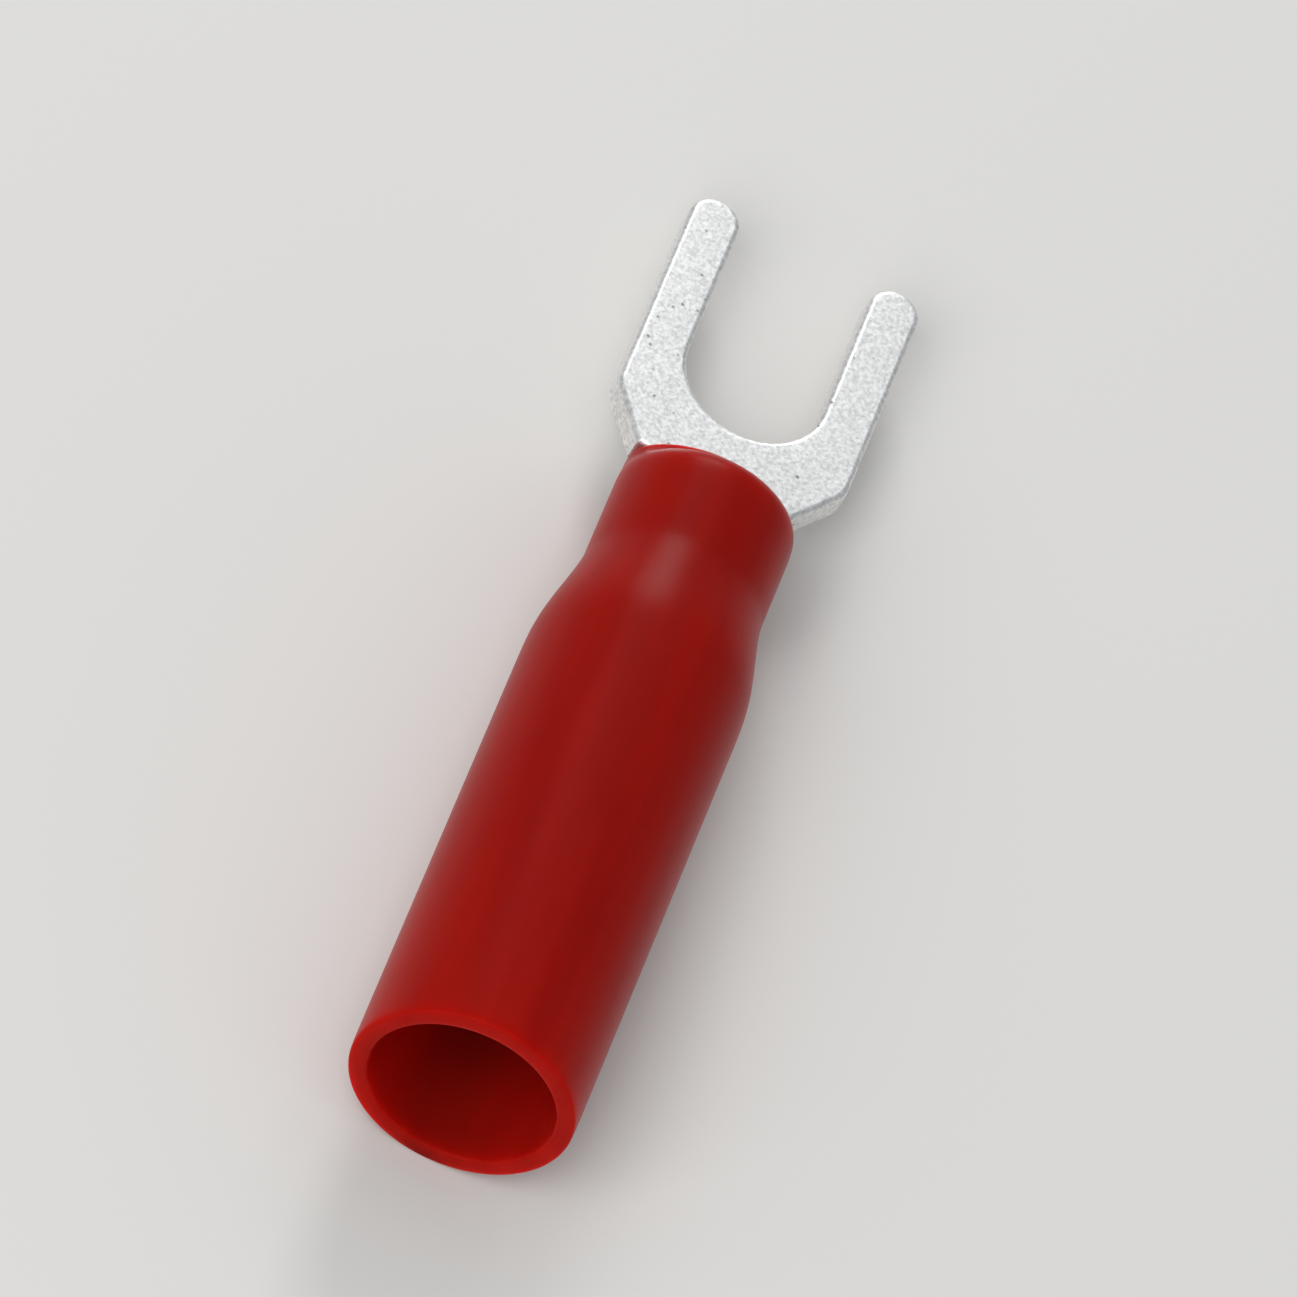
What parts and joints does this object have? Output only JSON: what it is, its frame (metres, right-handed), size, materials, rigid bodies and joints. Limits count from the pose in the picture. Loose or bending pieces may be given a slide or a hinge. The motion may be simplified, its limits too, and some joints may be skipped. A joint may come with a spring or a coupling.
{
  "type": "fork terminal",
  "caption": "Crimp fork terminal of tin-plated sheet, with a slotted tongue, a rolled wire barrel and a pre-shrunk translucent red heat-shrink sleeve open at the wire end.",
  "frame": {"origin": "on the stud axis at the round bottom of the slot, in the plane of the tongue's lower face", "axes": "+X along the terminal towards the ends of the tines, +Z out of the tongue's upper face, Y across the tines"},
  "size_m": [0.03, 0.0064, 0.0058],
  "materials": {
    "tin_plate": "matte tin plate on copper, satin with fine grain",
    "red_polyolefin": "translucent red polyolefin tube, soft satin",
    "clear_adhesive": "clear hot-melt adhesive, glossy"
  },
  "bodies": {
    "root": {"fork_terminal": "tin_plate", "heat_shrink_sleeve": "red_polyolefin", "adhesive_bead": "clear_adhesive"}
  },
  "joints": []
}
